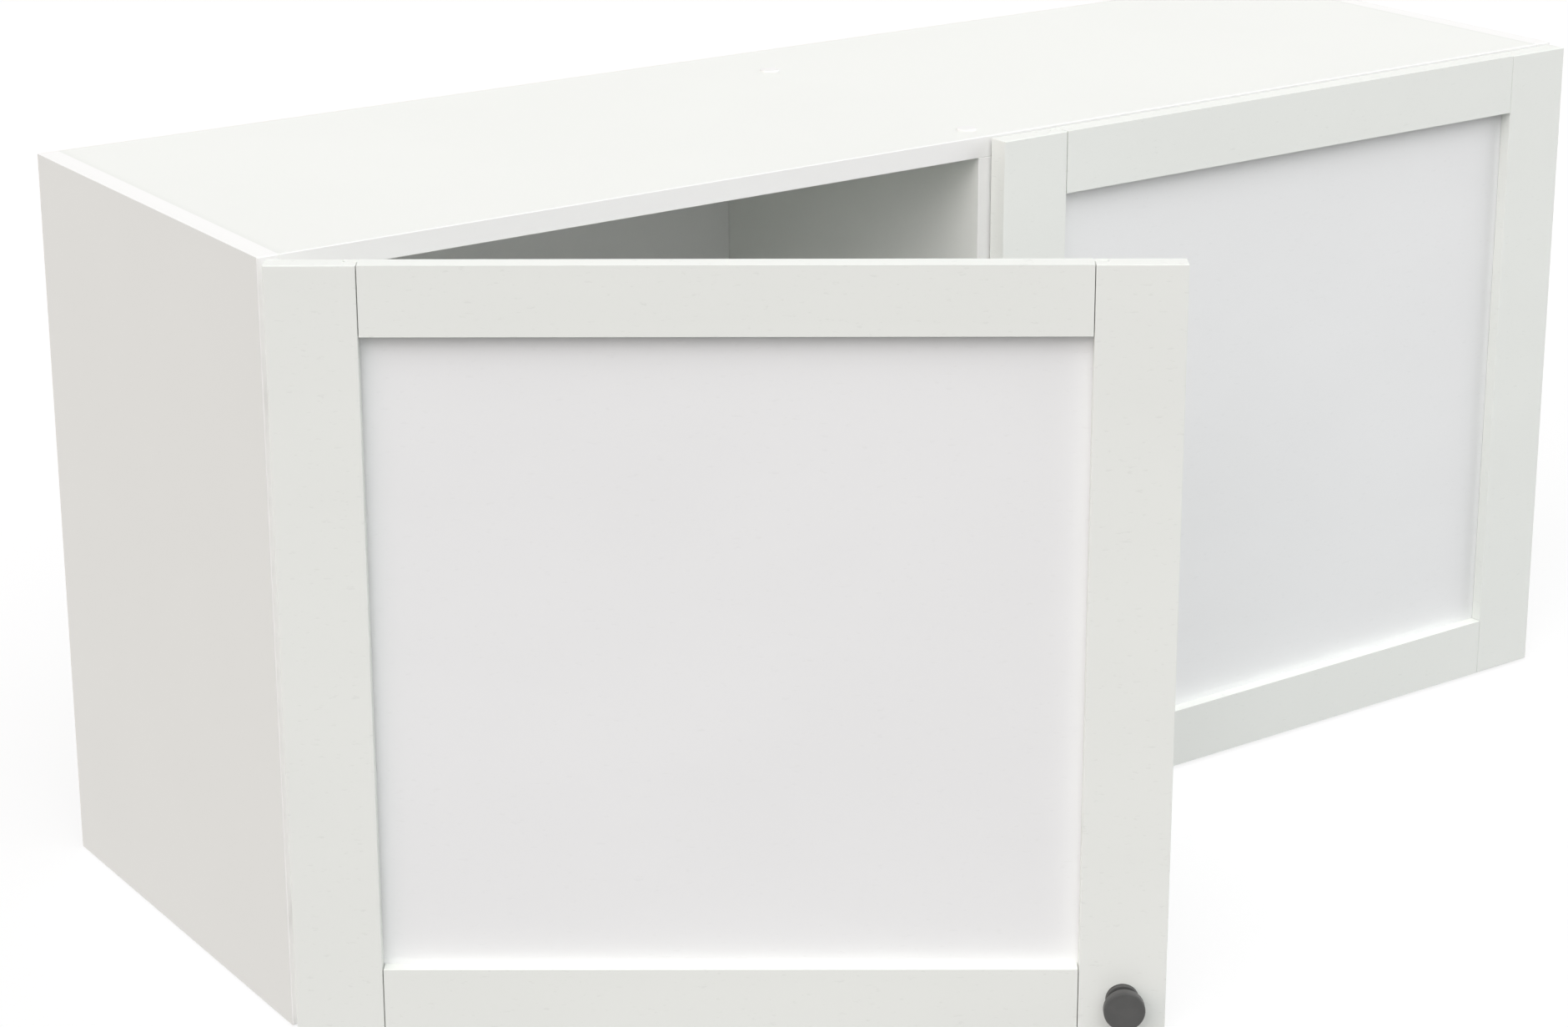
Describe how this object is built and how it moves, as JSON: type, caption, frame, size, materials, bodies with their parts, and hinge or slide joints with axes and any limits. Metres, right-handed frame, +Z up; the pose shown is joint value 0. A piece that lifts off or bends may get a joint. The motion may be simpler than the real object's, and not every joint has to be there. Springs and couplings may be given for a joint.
{
  "type": "wall cabinet",
  "caption": "White wall cabinet with framed doors on concealed hinges, round dark knobs, a divider, adjustable shelves and hidden hanging brackets.",
  "frame": {"origin": "on the wall, midway between the screw holes of the two wall plates", "axes": "+X to the right seen from the front, +Y into the wall, +Z up; the doors face -Y"},
  "size_m": [1.2034, 0.7184, 0.5524],
  "materials": {
    "white_board": "matt white melamine-faced board",
    "white_back": "white-lacquered thin hardboard",
    "white_frame": "white foil with a faint grain",
    "white_panel": "smooth white foil",
    "beech_dowel": "plain fluted beech",
    "white_plastic": "moulded white plastic",
    "soft_bumper": "soft pale pad",
    "dark_knob": "matt dark grey paint",
    "nickel_steel": "nickel-plated steel",
    "zinc_steel": "zinc-plated steel"
  },
  "bodies": {
    "carcass": {"left_side": "white_board", "right_side": "white_board", "top_panel": "white_board", "bottom_panel": "white_board", "centre_divider": "white_board", "back_panel": "white_back", "left_shelf": "white_board", "right_shelf": "white_board", "shelf_pins": "nickel_steel", "cam_locks": "zinc_steel", "cam_bolts": "zinc_steel", "dowels": "beech_dowel", "divider_screws": "zinc_steel", "screw_caps": "white_plastic", "left_hanger": "white_plastic", "right_hanger": "white_plastic", "left_wall_plate": "zinc_steel", "right_wall_plate": "zinc_steel", "hanger_hooks": "zinc_steel", "hanger_screws": "zinc_steel", "hinge_arms": "nickel_steel", "hinge_plates": "nickel_steel", "hinge_arm_pins": "nickel_steel", "plate_screws": "zinc_steel", "arm_screws": "zinc_steel"},
    "left_links": {"left_hinge_links": "nickel_steel"},
    "left_door": {"left_hinge_stile": "white_frame", "left_free_stile": "white_frame", "left_top_rail": "white_frame", "left_bottom_rail": "white_frame", "left_door_panel": "white_panel", "left_knob": "dark_knob", "left_knob_screw": "zinc_steel", "left_bumpers": "soft_bumper", "left_hinge_cups": "nickel_steel", "left_cup_pins": "nickel_steel", "left_cup_screws": "zinc_steel"},
    "right_links": {"right_hinge_links": "nickel_steel"},
    "right_door": {"right_hinge_stile": "white_frame", "right_free_stile": "white_frame", "right_top_rail": "white_frame", "right_bottom_rail": "white_frame", "right_door_panel": "white_panel", "right_knob": "dark_knob", "right_knob_screw": "zinc_steel", "right_bumpers": "soft_bumper", "right_hinge_cups": "nickel_steel", "right_cup_pins": "nickel_steel", "right_cup_screws": "zinc_steel"}
  },
  "joints": [
    {"name": "left_door_swing", "type": "hinge", "parent": "left_links", "child": "left_door", "pos_m": [-0.58881, -0.36397, -0.215], "axis": [0, 0, -1], "range_deg": [-50.05, 92.95]},
    {"name": "left_link_swing", "type": "hinge", "parent": "carcass", "child": "left_links", "pos_m": [-0.572, -0.361, -0.215], "axis": [0, 0, 1], "range_deg": [-15.15, 28.05]},
    {"name": "right_door_swing", "type": "hinge", "parent": "right_links", "child": "right_door", "pos_m": [0.589, -0.3595, -0.215], "axis": [0, 0, 1], "range_deg": [0, 143]},
    {"name": "right_link_swing", "type": "hinge", "parent": "carcass", "child": "right_links", "pos_m": [0.572, -0.361, -0.215], "axis": [0, 0, -1], "range_deg": [-0.1, 43.1]}
  ],
  "couplings": [
    {"joint": "left_link_swing", "follows": "left_door_swing", "ratio": 0.3007},
    {"joint": "right_link_swing", "follows": "right_door_swing", "ratio": 0.3007}
  ]
}
